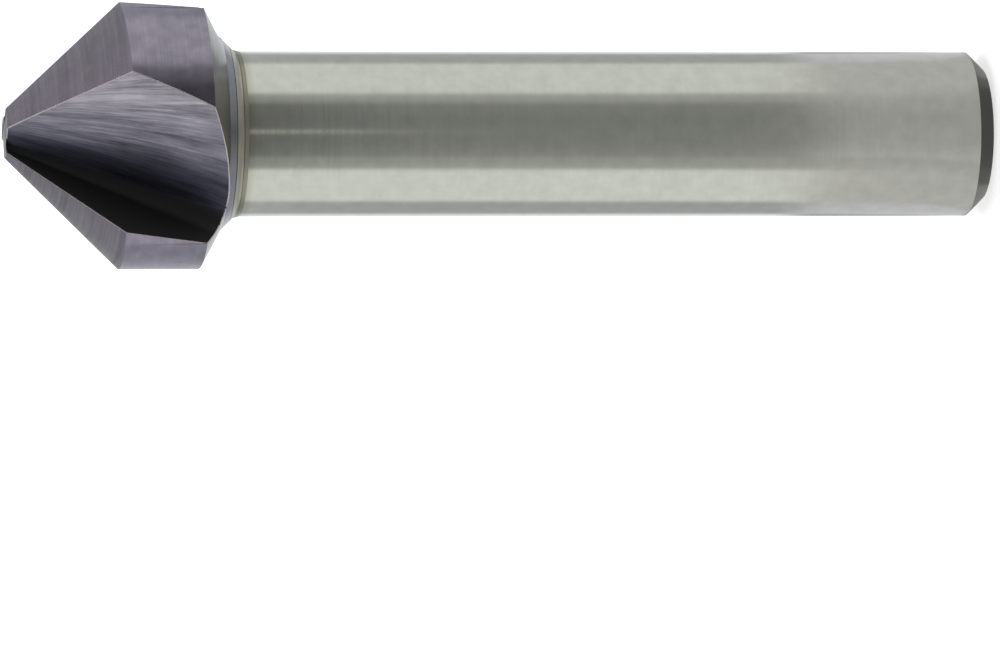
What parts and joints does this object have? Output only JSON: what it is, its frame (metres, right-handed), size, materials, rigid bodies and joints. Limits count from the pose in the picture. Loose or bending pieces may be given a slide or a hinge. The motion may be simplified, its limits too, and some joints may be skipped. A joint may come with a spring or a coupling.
{
  "type": "countersink bit",
  "caption": "Conical 90 degree countersink bit with straight angled flutes, a coated cutting head and a plain round shank.",
  "frame": {"origin": "centre of the shank's flat end", "axes": "+Z along the tool's axis, from the shank's flat end to the nose; one lip points 15 degrees from +X towards -Y"},
  "size_m": [0.0162, 0.0161, 0.06],
  "materials": {
    "tool_steel": "ground high-speed steel, bare on the shank, with a thin dark violet-grey coating on the cutting head"
  },
  "bodies": {
    "root": {"countersink_bit": "tool_steel"}
  },
  "joints": []
}
